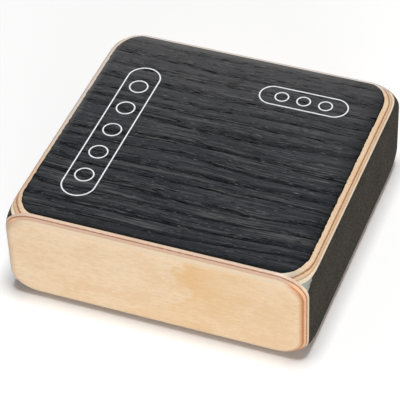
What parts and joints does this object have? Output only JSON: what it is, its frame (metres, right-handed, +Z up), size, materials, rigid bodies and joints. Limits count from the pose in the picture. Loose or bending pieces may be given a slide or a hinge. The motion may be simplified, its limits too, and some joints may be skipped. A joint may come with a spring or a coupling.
{
  "type": "wooden hand shaker",
  "caption": "Flat square wooden shaker: a glued box with rounded edges, black oak top, pale plywood ends and dark side walls, with loose steel shot running in channels inside.",
  "frame": {"origin": "middle of the underside", "axes": "+X to the right (short travel of the shot), +Y to the back (long travel), +Z up out of the black top; the front plate faces -Y"},
  "size_m": [0.1, 0.1, 0.033],
  "materials": {
    "black_oak": "open-pored oak, stained black, dull",
    "birch": "sanded and waxed birch, satin",
    "birch_core": "birch end grain and glue lines, sanded",
    "black_board": "black through-dyed fibreboard, matt",
    "birch_strip": "planed birch strip",
    "steel_shot": "polished ball"
  },
  "bodies": {
    "case": {"top_veneer": "black_oak", "top_outer_ply": "birch", "top_core_ply": "birch_core", "top_inner_ply": "birch", "bottom_inner_ply": "birch", "bottom_core_ply": "birch_core", "bottom_outer_ply": "birch", "bottom_veneer": "black_oak", "front_outer_ply": "birch", "front_core_ply": "birch_core", "front_inner_ply": "birch", "back_inner_ply": "birch", "back_core_ply": "birch_core", "back_outer_ply": "birch", "left_wall": "black_board", "right_wall": "black_board", "left_divider": "birch_strip", "right_divider": "birch_strip"},
    "left_long_charge": {"left_long_shot": "steel_shot"},
    "middle_long_charge": {"middle_long_shot": "steel_shot"},
    "right_long_charge": {"right_long_shot": "steel_shot"},
    "left_short_charge": {"left_short_shot": "steel_shot"},
    "middle_short_charge": {"middle_short_shot": "steel_shot"},
    "right_short_charge": {"right_short_shot": "steel_shot"}
  },
  "joints": [
    {"name": "left_long_travel", "type": "slide", "parent": "case", "child": "left_long_charge", "axis": [0, 1, 0], "range_m": [-0.0354, 0.0354]},
    {"name": "middle_long_travel", "type": "slide", "parent": "case", "child": "middle_long_charge", "axis": [0, 1, 0], "range_m": [-0.0354, 0.0354]},
    {"name": "right_long_travel", "type": "slide", "parent": "case", "child": "right_long_charge", "axis": [0, 1, 0], "range_m": [-0.0354, 0.0354]},
    {"name": "left_short_travel", "type": "slide", "parent": "left_long_charge", "child": "left_short_charge", "axis": [1, 0, 0], "range_m": [-0.0072, 0.0072]},
    {"name": "middle_short_travel", "type": "slide", "parent": "middle_long_charge", "child": "middle_short_charge", "axis": [1, 0, 0], "range_m": [-0.0072, 0.0072]},
    {"name": "right_short_travel", "type": "slide", "parent": "right_long_charge", "child": "right_short_charge", "axis": [1, 0, 0], "range_m": [-0.0072, 0.0072]}
  ]
}
